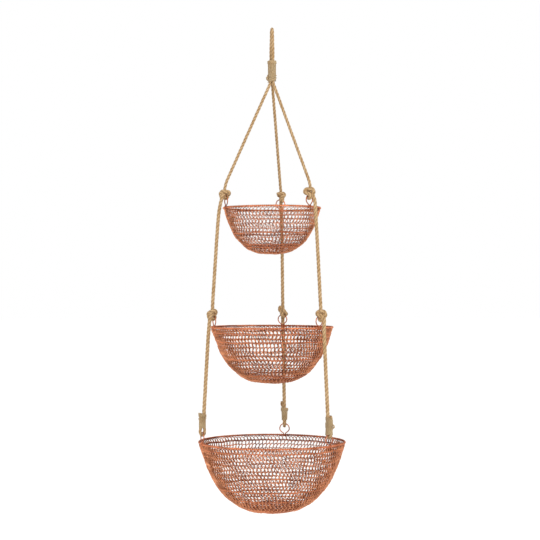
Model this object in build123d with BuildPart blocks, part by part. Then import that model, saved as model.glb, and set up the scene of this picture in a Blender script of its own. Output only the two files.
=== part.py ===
from build123d import *
import os
from dataclasses import dataclass
from math import cos, pi, radians, sin, sqrt

# Hanging fruit basket: three crocheted wire bowls on three ropes that meet under one rope loop.
# Millimetres, +Z up. The origin is where a hook bears, inside the top of the loop, on the basket's axis.
# Every rope is followed from the top down: loop, top binding, small bowl, medium bowl, large bowl.

# Rope, twine and wire
rope_d = 7.0
bound_rope_d = 6.0
twine_d = 1.8
twine_pitch = 2.25
ring_wire_d = 2.2
rim_wire_d = 3.0
wall_t = 1.6
rib_share = 0.3

# Bowls: outer width over the rim wire, depth below the rim, height of the rim
small_across = 200.0
small_depth = 94.0
small_rim_z = -363.7
medium_across = 250.0
medium_depth = 114.0
medium_rim_z = -607.4
large_across = 300.0
large_depth = 143.0
large_rim_z = -841.7

# Where a rope enters and leaves each knot, outwards from the rim wire
small_rope_in = 4.9
small_rope_out = 14.5
medium_rope_in = 4.1
medium_rope_out = 11.0

# The three ropes, by the side of the basket they hang on
side_azimuth = {"left": 199.5, "back": 79.5, "right": 319.5}

# Hanging loop
loop_azimuth = 105.0
loop_neck_half = 3.65
loop_belly_half = 9.6
loop_belly_z = -38.0
loop_top_half = 6.8
loop_neck_straight = 6.0
loop_bend_radii = (16.0, 39.0, 6.2)

# Top binding and the point that the ropes swing from
binding_top_z = -61.5
binding_length = 42.5
binding_margin = 0.6
bundle_squeeze = 0.4
apex_drop = 8.5
apex_clear = 0.15
apex_rope_offset = 4.65
tie_bead_d = 5.2
tie_azimuth = 190.0

# Wire rings, standing on the rim
ring_across = 21.5
ring_centre_above_rim = 13.5
ring_neck_angle = 60.0
ring_foot_half = 1.55
ring_foot_above_rim = 2.55

# Rope knots over the small and medium bowls, above the rim wire
knot_across = 25.0
knot_bottom = 25.2
knot_top = 41.5
knot_outwards = 7.5
knot_foot_outwards = 2.0
outlet_pivot_above_rim = 18.2

# Rope eyes and bindings over the large bowl, above the rim wire
eye_squeeze_from = 31.0
eye_leg_top = 57.0
tail_top = {"left": 57.5, "back": 66.0, "right": 60.0}
tail_splay = 1.8
lower_binding_from = 32.0
lower_binding_length = 23.0

# Coned ends of the ropes that swing, as shares of the rope's radius
cap_flat_share = 0.515
cap_height_share = 0.857

# Clearances
rope_gap = 0.1
wire_gap = 0.25
wall_gap = 0.2
turn_gap = 0.1
loop_gap = 0.3
pivot_gap = 0.05
open_pivot_gap = 0.35
flat_tolerance = 0.0005

# How finely the bends are divided
rope_sides = 12
wire_sides = 6
bead_sides = 8
knot_sides = 14
apex_sides = 36
hoop_sides = 60
wall_columns = 18
loop_runs = 56
ring_runs = 14
bend_runs = 8
binding_runs = 12
lower_binding_runs = 8

binding_bottom_z = binding_top_z - binding_length
apex_z = binding_bottom_z - apex_drop
rope_r = rope_d / 2
bound_rope_r = bound_rope_d / 2
apex_dome_r = apex_drop - apex_clear
twine_r = twine_d / 2
ring_wire_r = ring_wire_d / 2
rim_wire_r = rim_wire_d / 2
rim_flat = rim_wire_r * cos(pi / wire_sides)
lobe_r = ring_wire_r + wire_gap + rope_r
leg_half = (bound_rope_d + loop_gap) / 2


@dataclass
class Bowl:
    """One bowl of the basket and where its ropes pass it."""

    name: str
    across: float
    depth: float
    rim_z: float
    rope_in: float
    rope_out: float

    @property
    def hoop_r(self):
        return self.across / 2 - rim_wire_r

    @property
    def ring_top_z(self):
        return self.rim_z + ring_centre_above_rim + (ring_across - ring_wire_d) / 2


small = Bowl("small_bowl", small_across, small_depth, small_rim_z, small_rope_in, small_rope_out)
medium = Bowl("medium_bowl", medium_across, medium_depth, medium_rim_z, medium_rope_in, medium_rope_out)
large = Bowl("large_bowl", large_across, large_depth, large_rim_z, -leg_half, 0.0)


def outward(azimuth):
    """Unit vector away from the basket's axis."""
    return Vector(cos(radians(azimuth)), sin(radians(azimuth)), 0)


def around(azimuth):
    """Unit vector along the rim, anticlockwise from above."""
    return outward(azimuth + 90)


def place(azimuth, r, z, along=0.0):
    """A point at a distance from the axis, a height, and a distance along the rim."""
    return outward(azimuth) * r + around(azimuth) * along + Vector(0, 0, z)


def corners(plane, radius, sides):
    """Corners of a regular polygon in a plane, the first one on the plane's own X."""
    turns = [2 * pi * i / sides for i in range(sides)]
    return [plane.from_local_coords(Vector(radius * cos(turn), radius * sin(turn), 0)) for turn in turns]


def facet(*shape):
    """A flat face through a few corners."""
    return Face(Wire.make_polygon(shape))


def skin(rings, closed=False):
    """A solid with flat faces over rings of corners, each ring joined to the next one."""
    pairs = list(zip(rings, rings[1:]))
    faces = []
    if closed:
        pairs.append((rings[-1], rings[0]))
    else:
        faces = [facet(*ring) for ring in (rings[0], rings[-1])]
    for low, high in pairs:
        for i, a in enumerate(low):
            b, c, d = low[i - 1], high[i - 1], high[i]
            bow = (b - a).cross(d - a).normalized().dot(c - a)
            shapes = [(a, b, c, d)] if abs(bow) < flat_tolerance else [(a, b, c), (a, c, d)]
            faces.extend(facet(*shape) for shape in shapes)
    return Solid(Shell(faces))


def tube(points, radii, sides, side):
    """A tube with flat sides along straight runs, each run mitred to the next one."""
    runs = [(b - a).normalized() for a, b in zip(points, points[1:])]
    start = Plane(origin=(0, 0, 0), x_dir=side, z_dir=runs[0])
    offsets = corners(start, 1.0, sides)
    rings = [[points[0] + offset * radii[0] for offset in offsets]]
    for i, run in enumerate(runs):
        square = run + runs[i + 1] if i + 1 < len(runs) else run
        offsets = [offset - run * (offset.dot(square) / run.dot(square)) for offset in offsets]
        rings.append([points[i + 1] + offset * radii[i + 1] for offset in offsets])
    return skin(rings)


def length_of(points):
    return sum((b - a).length for a, b in zip(points, points[1:]))


def polygon_area(radius, sides):
    return 0.5 * sides * radius**2 * sin(2 * pi / sides)


def tell_tube(name, part, points, radius, sides):
    """Prints a tube's length, and its volume against its section times its length."""
    expected = polygon_area(radius, sides) * length_of(points)
    print(f"{name}: {length_of(points):.1f} mm long, volume {part.volume / expected:.3f} of section by length")


# Hanging loop: one rope bent double, seen almost edge-on from the front
def loop_rope_part():
    foot_z = binding_top_z + loop_gap
    half = [
        (loop_neck_half, foot_z),
        (loop_neck_half, foot_z + loop_neck_straight),
        (loop_belly_half, loop_belly_z),
        (loop_top_half, rope_r),
    ]
    other = [(-u, z) for u, z in reversed(half)]
    radii = [*loop_bend_radii, *reversed(loop_bend_radii)]
    face = Plane(origin=(0, 0, 0), x_dir=outward(loop_azimuth), z_dir=outward(loop_azimuth - 90))
    with BuildLine(face):
        centre_line = FilletPolyline(*half, *other, radius=radii)
    points = [centre_line @ (k / loop_runs) for k in range(loop_runs + 1)]
    with BuildPart() as loop:
        add(tube(points, [rope_r] * len(points), rope_sides, face.z_dir))
    print(f"loop_rope: bend radii {radii}, {centre_line.length:.1f} mm along its arcs")
    tell_tube("loop_rope", loop.part, points, rope_r, rope_sides)
    return loop


# Top binding: three ropes side by side, squeezed by one layer of twine
bundle_r = (bound_rope_d - bundle_squeeze) / sqrt(3)
core_r = bundle_r + bound_rope_r


def rope_bundle_part():
    with BuildPart() as bundle:
        with BuildSketch(Plane.XY.offset(binding_bottom_z)):
            for azimuth in side_azimuth.values():
                with Locations(outward(azimuth) * bundle_r):
                    RegularPolygon(bound_rope_r, rope_sides, rotation=azimuth)
        extrude(amount=binding_length)
    return bundle


def winding_route(lobe_half, hold_r, from_z, to_z, runs, first_azimuth):
    """Points of one layer of twine round two lobes, or round one core where lobe_half is 0.

    hold_r is the core's own radius at each lobe. The runs between the points clear it by turn_gap.
    The points are in the core's own frame, with +X along its lobes.
    """
    path_r = (hold_r + turn_gap + twine_r) / cos(pi / runs)
    turns = int((to_z - from_z - twine_d) / twine_pitch)
    points = []
    for k in range(turns * runs + 1):
        lean = outward(first_azimuth + 360 * (k + 0.5) / runs)
        lobe = lobe_half if lean.X > 0 else -lobe_half
        z = from_z + twine_r + twine_pitch * k / runs
        points.append(Vector(lobe + path_r * lean.X, path_r * lean.Y, z))
    return points


def least_turn_gap(points, runs):
    """Least distance between the surfaces of two turns, measured on points along the route."""
    fine = []
    for a, b in zip(points, points[1:]):
        fine.extend(a + (b - a) * (i / 4) for i in range(4))
    skip = 4 * (runs - 2)
    reach = 4 * (runs + 2)
    least = min(
        (fine[i] - fine[j]).length
        for i in range(0, len(fine), 3)
        for j in range(i + skip, min(i + reach, len(fine)))
    )
    return least - twine_d


# The tie knot, as shares of its width: how far along, and how thick there
bead_shape = ((-0.6, 0.17), (-0.25, 0.5), (0.25, 0.5), (0.6, 0.17))


def binding_twine_part():
    low = binding_bottom_z + binding_margin
    high = binding_top_z - binding_margin
    points = winding_route(0.0, core_r, low, high, binding_runs, tie_azimuth)
    lean = outward(tie_azimuth)
    along = (points[1] - points[0]).normalized()
    bead = points[0] + lean * (tie_bead_d / 2 - twine_r)
    bead_rings = []
    for share, radius in bead_shape:
        station = Plane(origin=bead + along * share * tie_bead_d, x_dir=lean, z_dir=along)
        bead_rings.append(corners(station, radius * tie_bead_d, bead_sides))
    with BuildPart() as twine:
        add(tube(points, [twine_r] * len(points), wire_sides, lean))
        tell_tube("binding_twine", twine.part, points, twine_r, wire_sides)
        add(skin(bead_rings))
    print(f"binding_twine: least gap between turns {least_turn_gap(points, binding_runs):.2f} mm")
    return twine


# Bowls: a hoop of wire, a wall that hangs from it, and three rings that stand on it.
#
# The wall's stations from its top edge to its foot, as shares of radius and of depth. The second and the third
# are the top and the foot of one row of openings, and so on down by twos.
bowl_shape = (
    (1.0, 0.0),
    (0.983, 0.06),
    (0.927, 0.235),
    (0.910, 0.285),
    (0.8375, 0.465),
    (0.8125, 0.515),
    (0.682, 0.72),
    (0.641, 0.765),
    (0.45, 0.915),
    (0.22, 1.0),
)


def open_wall(outer, inner, azimuths):
    """A wall between two skins of level rings. Every second row has an opening between each two ribs."""
    out = [[place(azimuth, r, z) for azimuth in azimuths] for r, z in outer]
    into = [[place(azimuth, r, z) for azimuth in azimuths] for r, z in inner]
    faces = [facet(*out[-1]), facet(*into[-1])]
    for k in range(len(azimuths)):
        j = k - 1
        faces.append(facet(out[0][j], out[0][k], into[0][k], into[0][j]))
        for low in range(1, len(outer)):
            high = low - 1
            if k % 2 == 0 and low % 2 == 0:
                faces.extend(facet(out[n][j], out[n][k], into[n][k], into[n][j]) for n in (high, low))
                faces.extend(facet(out[high][n], out[low][n], into[low][n], into[high][n]) for n in (j, k))
            else:
                for side in (out, into):
                    faces.append(facet(side[high][j], side[high][k], side[low][k], side[low][j]))
    return Solid(Shell(faces))


def wall_part(bowl):
    """The crocheted wall, as a plain grid. The inner skin is set inwards from the outer one."""
    top_z = bowl.rim_z - rim_flat - wall_gap
    top_r = bowl.hoop_r + wall_t / 2
    height = top_z - (bowl.rim_z - bowl.depth)
    outer = [(top_r * r, top_z - height * h) for r, h in bowl_shape]
    inner = [(r - wall_t, z + wall_t * h) for (r, z), (_, h) in zip(outer, bowl_shape)]
    cell = 360 / wall_columns
    azimuths = [cell * (k + edge) for k in range(wall_columns) for edge in (0, rib_share)]
    with BuildPart() as wall:
        add(open_wall(outer, inner, azimuths))
    return wall


def rim_part(bowl):
    """A hoop of wire, as flat faces from one station round it to the next."""
    stations = []
    for k in range(hoop_sides):
        azimuth = 360 * k / hoop_sides
        station = Plane(place(azimuth, bowl.hoop_r, bowl.rim_z), x_dir=outward(azimuth), z_dir=around(azimuth))
        stations.append(corners(station, rim_wire_r, wire_sides))
    with BuildPart() as rim:
        add(skin(stations, closed=True))
    return rim


def ring_part(bowl, azimuth):
    """A ring of wire whose two ends come together on the hoop."""
    middle_r = (ring_across - ring_wire_d) / 2
    course = [(-ring_foot_half, ring_foot_above_rim)]
    sweep_angle = 180 + 2 * ring_neck_angle
    for k in range(ring_runs + 1):
        angle = radians(180 + ring_neck_angle - sweep_angle * k / ring_runs)
        course.append((middle_r * cos(angle), ring_centre_above_rim + middle_r * sin(angle)))
    course.append((ring_foot_half, ring_foot_above_rim))
    points = [place(azimuth, bowl.hoop_r, bowl.rim_z + z, along) for along, z in course]
    with BuildPart() as ring:
        add(tube(points, [ring_wire_r] * len(points), wire_sides, outward(azimuth)))
    return ring


# Ropes between the knots: straight, with rounded ends about the points that they swing on
cap_flat_r = cap_flat_share * rope_r
cap_height = cap_height_share * rope_r


def knot_outlet(bowl, azimuth):
    """Where the rope below a knot swings."""
    return place(azimuth, bowl.hoop_r + bowl.rope_out, bowl.rim_z + outlet_pivot_above_rim)


def rope_foot(bowl, azimuth, gap):
    """Where a rope swings above the knot or the eye that it goes into."""
    seat = eye_leg_top if bowl is large else knot_top
    return place(azimuth, bowl.hoop_r + bowl.rope_in, bowl.rim_z + seat + rope_r + gap)


def foot_gap(side):
    """The left rope carries the bowl in the row of joints. The other two end in an open pivot."""
    return pivot_gap if side == "left" else open_pivot_gap


def span_rope_part(top, foot, azimuth):
    """A straight rope with coned ends, from its top swing point to its lower one."""
    heading = (foot - top).normalized()
    points = [top - heading * cap_height, top, foot, foot + heading * cap_height]
    with BuildPart() as rope:
        add(tube(points, [cap_flat_r, rope_r, rope_r, cap_flat_r], rope_sides, around(azimuth)))
    return rope


def upper_rope_part(azimuth):
    """From the dome under the top binding down to the flat top of the small bowl's knot."""
    seat_z = small.rim_z + knot_top + rope_gap
    foot = place(azimuth, small.hoop_r + small.rope_in, seat_z)
    top = place(azimuth, apex_rope_offset, binding_bottom_z)
    heading = (foot - top).normalized()
    ends = [top - heading * rope_d, foot + heading * rope_d]
    with BuildPart() as rope:
        add(tube(ends, [rope_r, rope_r], rope_sides, around(azimuth)))
        split(bisect_by=Plane.XY.offset(seat_z), keep=Keep.TOP)
        add(apex_trim, mode=Mode.SUBTRACT)
    return rope


# What is cut from the three ropes to leave a dome that swings about the Y axis, under the top binding
with BuildPart() as apex_trimmer:
    with Locations((0, 0, apex_z)):
        Box(6 * rope_d, 6 * rope_d, 3 * rope_d, align=(Align.CENTER, Align.CENTER, Align.MIN))
    with BuildSketch(Plane.XZ):
        with Locations((0, apex_z)):
            RegularPolygon(apex_dome_r, apex_sides)
    extrude(amount=4 * rope_d, both=True, mode=Mode.SUBTRACT)
apex_trim = apex_trimmer.part


# Knots over the small and medium bowls
def bend_points(azimuth, centre_r, centre_z):
    """Points of a half turn of rope under a ring's top wire, from its outer side to its inner side."""
    points = []
    for k in range(bend_runs + 1):
        angle = radians(-180 * k / bend_runs)
        points.append(place(azimuth, centre_r + lobe_r * cos(angle), centre_z + lobe_r * sin(angle)))
    return points


# The knot's body in level layers, as shares of its height, of its outward lean and of its width
knot_body = ((0.0, 0.0, 0.76), (0.34, 0.73, 1.0), (0.70, 1.0, 1.0), (1.0, 1.0, 0.70))


def knot_part(bowl, azimuth, outlet_foot):
    rise = place(azimuth, bowl.hoop_r + lobe_r, bowl.rim_z + knot_bottom + rope_r)
    fall = place(azimuth, bowl.hoop_r - lobe_r, bowl.rim_z + knot_bottom + rope_r)
    lobe = [rise, *bend_points(azimuth, bowl.hoop_r, bowl.ring_top_z), fall]
    pivot = knot_outlet(bowl, azimuth)
    upwards = (pivot - outlet_foot).normalized()
    stub_foot = pivot + upwards * (rope_r + pivot_gap)
    stub = [stub_foot, stub_foot + upwards * 2 * rope_d]
    layers = []
    for up, out, width in knot_body:
        shift = knot_foot_outwards + out * (knot_outwards - knot_foot_outwards)
        height = knot_bottom + up * (knot_top - knot_bottom)
        centre = place(azimuth, bowl.hoop_r + shift, bowl.rim_z + height)
        layer = Plane(origin=centre, x_dir=outward(azimuth), z_dir=(0, 0, 1))
        layers.append(corners(layer, width * knot_across / 2, knot_sides))
    with BuildPart() as knot:
        add(skin(layers))
        add(tube(lobe, [rope_r] * len(lobe), rope_sides, around(azimuth)))
        add(tube(stub, [rope_r, rope_r], rope_sides, around(azimuth)))
    return knot


# Rope eyes and their bindings over the large bowl
def eye_part(azimuth, tail_height):
    """The rope comes down, turns under the ring's wire and is laid back along itself."""
    inner_r = large.hoop_r - leg_half
    outer_r = large.hoop_r + leg_half
    tail = [
        place(azimuth, outer_r + tail_splay, large.rim_z + tail_height),
        place(azimuth, outer_r, large.rim_z + lower_binding_from + lower_binding_length),
        place(azimuth, outer_r, large.rim_z + eye_squeeze_from),
    ]
    leg = [
        place(azimuth, inner_r, large.rim_z + eye_squeeze_from),
        place(azimuth, inner_r, large.rim_z + eye_leg_top),
    ]
    bend = bend_points(azimuth, large.hoop_r, large.ring_top_z)
    points = [*tail, *bend, *leg]
    radii = [bound_rope_r] * len(tail) + [rope_r] * len(bend) + [bound_rope_r] * len(leg)
    with BuildPart() as eye:
        add(tube(points, radii, rope_sides, around(azimuth)))
    return eye


def lower_binding_part(azimuth):
    low = large.rim_z + lower_binding_from
    high = low + lower_binding_length
    course = winding_route(leg_half, bound_rope_r, low, high, lower_binding_runs, 0.0)
    points = [place(azimuth, large.hoop_r + p.X, p.Z, p.Y) for p in course]
    with BuildPart() as binding:
        add(tube(points, [twine_r] * len(points), wire_sides, outward(azimuth)))
    tell_tube("lower_binding", binding.part, points, twine_r, wire_sides)
    print(f"lower_binding: least gap between turns {least_turn_gap(points, lower_binding_runs):.2f} mm")
    return binding


def write(piece, name):
    piece.part.label = name
    export_step(piece.part, f"parts/{name}.step")


def build():
    os.makedirs("parts", exist_ok=True)
    write(loop_rope_part(), "loop_rope")
    write(rope_bundle_part(), "binding_rope_bundle")
    write(binding_twine_part(), "binding_twine")
    for bowl in (small, medium, large):
        write(rim_part(bowl), f"{bowl.name}_rim")
        write(wall_part(bowl), f"{bowl.name}_mesh")
        for side, azimuth in side_azimuth.items():
            write(ring_part(bowl, azimuth), f"{bowl.name}_ring_{side}")
    for side, azimuth in side_azimuth.items():
        write(upper_rope_part(azimuth), f"upper_rope_{side}")
        for above, below, span in ((small, medium, "middle"), (medium, large, "lower")):
            top = knot_outlet(above, azimuth)
            foot = rope_foot(below, azimuth, foot_gap(side))
            write(knot_part(above, azimuth, foot), f"{above.name}_knot_{side}")
            write(span_rope_part(top, foot, azimuth), f"{span}_rope_{side}")
            print(f"{span}_rope_{side}: {(foot - top).length:.1f} mm between its two pivots")
        write(eye_part(azimuth, tail_top[side]), f"lower_eye_{side}")
        write(lower_binding_part(azimuth), f"lower_binding_{side}")


build()
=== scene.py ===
# %% [markdown]
# # A hanging fruit basket
#
# Three bowls crocheted from copper wire hang one under the other on three jute ropes. The ropes meet
# under a loop for a ceiling hook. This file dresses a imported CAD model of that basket: each piece
# rides on one of the model's bodies, so that the bowls can swing.

# %% Load the model
import bpy
from functools import partial
from math import atan2, cos, radians, sin, tau

import numpy as np
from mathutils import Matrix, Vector


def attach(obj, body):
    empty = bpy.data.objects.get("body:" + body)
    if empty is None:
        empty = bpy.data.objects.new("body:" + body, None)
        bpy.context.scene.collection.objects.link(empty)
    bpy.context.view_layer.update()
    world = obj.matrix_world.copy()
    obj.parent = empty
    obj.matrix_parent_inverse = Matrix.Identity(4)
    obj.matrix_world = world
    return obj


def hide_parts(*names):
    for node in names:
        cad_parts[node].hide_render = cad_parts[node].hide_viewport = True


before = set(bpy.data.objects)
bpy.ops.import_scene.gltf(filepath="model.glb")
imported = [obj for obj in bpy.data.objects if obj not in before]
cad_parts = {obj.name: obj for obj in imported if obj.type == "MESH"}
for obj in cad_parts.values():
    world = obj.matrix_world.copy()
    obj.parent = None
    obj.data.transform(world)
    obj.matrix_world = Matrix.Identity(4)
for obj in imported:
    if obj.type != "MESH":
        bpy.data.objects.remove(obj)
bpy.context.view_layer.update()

scene = bpy.context.scene

# %% [markdown]
# ## Sizes
#
# Everything is written in millimetres, as on the real basket, and turned to metres where a point is
# made. Heights are from the hook's seat inside the loop, so they are negative. A point on the basket
# is easiest to give as a direction round the axis, a distance from it, a height, and a distance along
# the rim.

# %% Sizes shared by several pieces
MM = 0.001
rope_d = 7.0
rim_wire_d = 3.0

# Each rope's direction round the axis, in degrees.
SIDES = {"left": 199.5, "back": 79.5, "right": 319.5}

# rope_in and rope_out say how far outside the hoop a rope arrives from above and goes on below.
BOWLS = {
    "small": {"hoop_r": 98.5, "rim_z": -363.7, "depth": 94.0, "rope_in": 4.9, "rope_out": 14.5},
    "medium": {"hoop_r": 123.5, "rim_z": -607.4, "depth": 114.0, "rope_in": 4.1, "rope_out": 11.0},
    "large": {"hoop_r": 148.5, "rim_z": -841.7, "depth": 143.0, "rope_in": -3.15, "rope_out": 0.0},
}


def place(azimuth, out, up, along=0.0):
    """A point in metres, from a distance to the axis, a height and a distance along the rim, in mm."""
    turn = radians(azimuth)
    x = out * cos(turn) - along * sin(turn)
    y = out * sin(turn) + along * cos(turn)
    return Vector((x, y, up)) * MM


# %% [markdown]
# ## The camera
#
# The basket was photographed from about 3 m away, at the height of the gap between the small and the
# medium bowl: the small rim is seen a little from below and the large one from above. A long lens
# that far back keeps the ropes' slopes as they are. The camera leans up by two thirds of a degree, to
# bring the basket to the photograph's height in the frame.

# %% Camera
FRAME_PX = 540
focal_px = 1490
camera_at = (-0.004, -3.05, -0.525)
lean_up = 0.65
camera_data = bpy.data.cameras.new("camera")
camera_data.sensor_width = 36.0
camera_data.lens = focal_px / FRAME_PX * camera_data.sensor_width
camera = bpy.data.objects.new("camera", camera_data)
camera.location = camera_at
camera.rotation_euler = (radians(90 + lean_up), 0, 0)
scene.collection.objects.link(camera)
scene.camera = camera
print(f"lens {camera_data.lens:.0f} mm")

# %% [markdown]
# ## Three small helpers
#
# Colours are picked as the hex codes of a colour chart, which are sRGB, and Blender's shaders want
# linear light. The node helper adds one node, sets its properties and fills its inputs. It serves
# shader trees and geometry trees alike. A node can be handed on as it is: its first output that is in
# use gets linked. Every material starts from the Principled shader with a few plain values.


# %% Colour and node helpers
def linear(hex_code):
    """An sRGB hex colour as opaque linear light."""
    parts = [int(hex_code[i:i + 2], 16) / 255 for i in (1, 3, 5)]
    return (*[c / 12.92 if c <= 0.04045 else ((c + 0.055) / 1.055) ** 2.4 for c in parts], 1.0)


def add_node(tree, kind, inputs=(), **settings):
    """Adds a node. inputs is a list for the inputs that show, in order, or a dict by name."""
    node = tree.nodes.new(kind)
    for name, value in settings.items():
        setattr(node, name, value)
    showing = [socket for socket in node.inputs if socket.enabled]
    for key, value in inputs.items() if isinstance(inputs, dict) else enumerate(inputs):
        socket = node.inputs[key] if isinstance(key, str) else showing[key]
        if isinstance(value, bpy.types.Node):
            value = next(output for output in value.outputs if output.enabled)
        if isinstance(value, bpy.types.NodeSocket):
            tree.links.new(value, socket)
        else:
            socket.default_value = value
    return node


def new_material(name, finish):
    """A material whose Principled shader has the finish's plain values. Returns it with the shader."""
    material = bpy.data.materials.new(name)
    material.use_nodes = True
    shader = material.node_tree.nodes["Principled BSDF"]
    for label, value in finish.items():
        shader.inputs[label].default_value = value
    return material, shader


# %% [markdown]
# ## Jute rope and jute twine
#
# Jute is a bast fibre, spun to yarn and laid to rope. It is dull, and its colour shifts from straw to
# brown along each fibre bundle. The valleys between the strands are painted darker: that is painted
# shade. The streaks have to follow the twist of the yarn. So the rope's mesh carries two attributes
# that its node tree writes: `yarn`, which is the place round the strand and along it, and `groove`,
# which is 1 on a strand's crown and falls to 0 where it meets its neighbour and the shade is painted.

# %% Jute material
yarn_turn = 420.0
fibre_across, fibre_along = 1.6, 0.12
patch_mm = 14
dull_fibre = {"Roughness": 0.92, "Specular IOR Level": 0.2, "Sheen Weight": 0.15,
              "Sheen Roughness": 0.6}


def jute(name, crown, middle, valley_shade, streak_mm, bump_mm):
    """Spun jute: dull, streaked along the yarn's twist, with shade painted darker in the lay's valleys.
    """
    material, shader = new_material(name, dull_fibre)
    tree = material.node_tree
    node = partial(add_node, tree)
    # Fibres run along the yarn, which itself turns once in about 15 mm: 420 radians in a metre.
    yarn = node("ShaderNodeAttribute", attribute_name="yarn").outputs["Vector"]
    along = node("ShaderNodeSeparateXYZ", [yarn]).outputs["Z"]
    twist = node("ShaderNodeMath", [along, yarn_turn], operation="MULTIPLY")
    turned = node("ShaderNodeVectorRotate", {"Vector": yarn, "Axis": (0, 0, 1), "Angle": twist})
    across = fibre_across / (streak_mm * MM)
    stretch = (across, across, fibre_along / (streak_mm * MM))
    streak_at = node("ShaderNodeVectorMath", [turned, stretch], operation="MULTIPLY")
    streaks = node("ShaderNodeTexNoise", [streak_at, 1.0, 3.0])
    # Patches two diameters long, where the fibre is paler or browner.
    where = node("ShaderNodeTexCoord").outputs["Object"]
    patches = node("ShaderNodeTexNoise", [where, 1 / (patch_mm * MM), 2.0])
    # The sum of two noises stays near 1. Its usual range is spread over the two colours.
    light = node("ShaderNodeMath", [streaks, patches], operation="ADD")
    light = node("ShaderNodeMapRange", [light, 0.72, 1.28, 0.0, 1.0])
    surface = node("ShaderNodeMix", [light, linear(middle), linear(crown)], data_type="RGBA")
    # Painted shade: the colour falls to the valley colour where the strands meet.
    groove = node("ShaderNodeAttribute", attribute_name="groove").outputs["Fac"]
    open_side = node("ShaderNodeMapRange", [groove, 0.05, 0.75, 0.0, 1.0])
    shaded = node("ShaderNodeMix", [open_side, linear(valley_shade), surface], data_type="RGBA")
    bump = node("ShaderNodeBump", {"Strength": 0.8, "Distance": bump_mm * MM, "Height": streaks})
    tree.links.new(shaded.outputs[2], shader.inputs["Base Color"])
    tree.links.new(bump.outputs[0], shader.inputs["Normal"])
    return material


rope_jute = jute("golden_laid_jute", "#CDAE84", "#AC885A", "#6B4C2E", streak_mm=0.9, bump_mm=0.35)
twine_jute = jute("pale_jute_twine", "#DFC9A0", "#BFA176", "#80623C", streak_mm=0.5, bump_mm=0.2)

# %% [markdown]
# ## Copper wire
#
# The wire is soft copper that has been handled and has dulled: metallic, salmon where it is bright
# and brown where it has tarnished. A wire is also painted lighter where it stands proud of its
# neighbours and darker where it lies back in the wall: that is painted light and shade. The trees
# write how far it stands out as `proud`. The patches on the bowls are a few centimetres wide, with
# mottling of 2 to 3 mm, the finest that shows.

# %% Copper material
tarnish_mm, mottle_mm = 22, 2.5
relief_shading = 0.28


def copper(name, bright, brown, roughness):
    """Dulled copper wire, mottled from bright to brown, with light and shade painted by `proud`."""
    material, shader = new_material(name, {"Metallic": 1.0, "Roughness": roughness})
    tree = material.node_tree
    node = partial(add_node, tree)
    where = node("ShaderNodeTexCoord").outputs["Object"]
    wide = node("ShaderNodeTexNoise", [where, 1 / (tarnish_mm * MM), 2.0])
    fine = node("ShaderNodeTexNoise", [where, 1 / (mottle_mm * MM), 2.0])
    both = node("ShaderNodeMath", [wide, fine], operation="ADD")
    # Painted light and shade: lighter where the wire stands out of the wall, darker where it lies in
    # it.
    proud = node("ShaderNodeAttribute", attribute_name="proud").outputs["Fac"]
    mottle_and_shading = node("ShaderNodeMath", [proud, relief_shading, both], operation="MULTIPLY_ADD")
    tarnish_and_shade = node("ShaderNodeMapRange", [mottle_and_shading, 0.68, 1.32, 0.0, 1.0])
    mix = node("ShaderNodeMix", [tarnish_and_shade, linear(brown), linear(bright)], data_type="RGBA")
    bump = node("ShaderNodeBump", {"Strength": 0.3, "Distance": 0.1 * MM, "Height": fine})
    tree.links.new(mix.outputs[2], shader.inputs["Base Color"])
    tree.links.new(bump.outputs[0], shader.inputs["Normal"])
    return material


crochet_copper = copper("dulled_copper_wire", "#DD976E", "#66301A", 0.38)
rim_copper = copper("reddish_copper_rim", "#DD8C64", "#72341E", 0.36)

# %% [markdown]
# ## Guides
#
# A rope or a row of stitches starts as a guide: a bare line of points. A rope's guide comes from a
# NURBS curve of order 3, which flows smoothly past a few control points. Order and end points are
# set after the points are added, because Blender would otherwise leave the order at 2.


# %% Guides
def smooth_guide(points, name):
    """A mesh of one line that follows a NURBS curve past the control points, in metres."""
    curve = bpy.data.curves.new(name, "CURVE")
    curve.dimensions = "3D"
    curve.resolution_u = 16
    spline = curve.splines.new("NURBS")
    spline.points.add(len(points) - 1)
    for knot, point in zip(spline.points, points):
        knot.co = (*point, 1)
    spline.order_u = 3
    spline.use_endpoint_u = True
    holder = bpy.data.objects.new(name, curve)
    mesh = bpy.data.meshes.new_from_object(holder)
    bpy.data.objects.remove(holder)
    return mesh


def line_of(mesh):
    """The guide's points, in order."""
    return [v.co.copy() for v in mesh.vertices]


def length_of(points):
    """The length of a line of points, in metres."""
    return sum((b - a).length for a, b in zip(points, points[1:]))


# %% [markdown]
# ## Running a node tree
#
# Every repeated thing here is made by a Geometry Nodes tree: the strands of a rope, the wire wound on
# a rim, and each row of stitches. A tree gets a guide and named sizes. Its result is copied to a
# plain mesh, because the finished piece has to stand without its modifier.


# %% Running a node tree
def new_tree(name, sizes):
    """A geometry tree whose inputs are a guide, named sizes and a material. Returns it with them."""
    tree = bpy.data.node_groups.new(name, "GeometryNodeTree")
    tree.interface.new_socket("Guide", in_out="INPUT", socket_type="NodeSocketGeometry")
    for label, value in sizes.items():
        kind = "NodeSocketInt" if isinstance(value, int) else "NodeSocketFloat"
        tree.interface.new_socket(label, in_out="INPUT", socket_type=kind).default_value = value
    tree.interface.new_socket("Material", in_out="INPUT", socket_type="NodeSocketMaterial")
    tree.interface.new_socket("Result", in_out="OUTPUT", socket_type="NodeSocketGeometry")
    return tree, add_node(tree, "NodeGroupInput").outputs


def end_tree(tree, geometry, given):
    """Smooth shading, real geometry and the material, then the tree's output."""
    smooth = add_node(tree, "GeometryNodeSetShadeSmooth", [geometry])
    real = add_node(tree, "GeometryNodeRealizeInstances", [smooth])
    painted = add_node(tree, "GeometryNodeSetMaterial", {
        "Geometry": real, "Material": given["Material"]})
    add_node(tree, "NodeGroupOutput", [painted])


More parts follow.
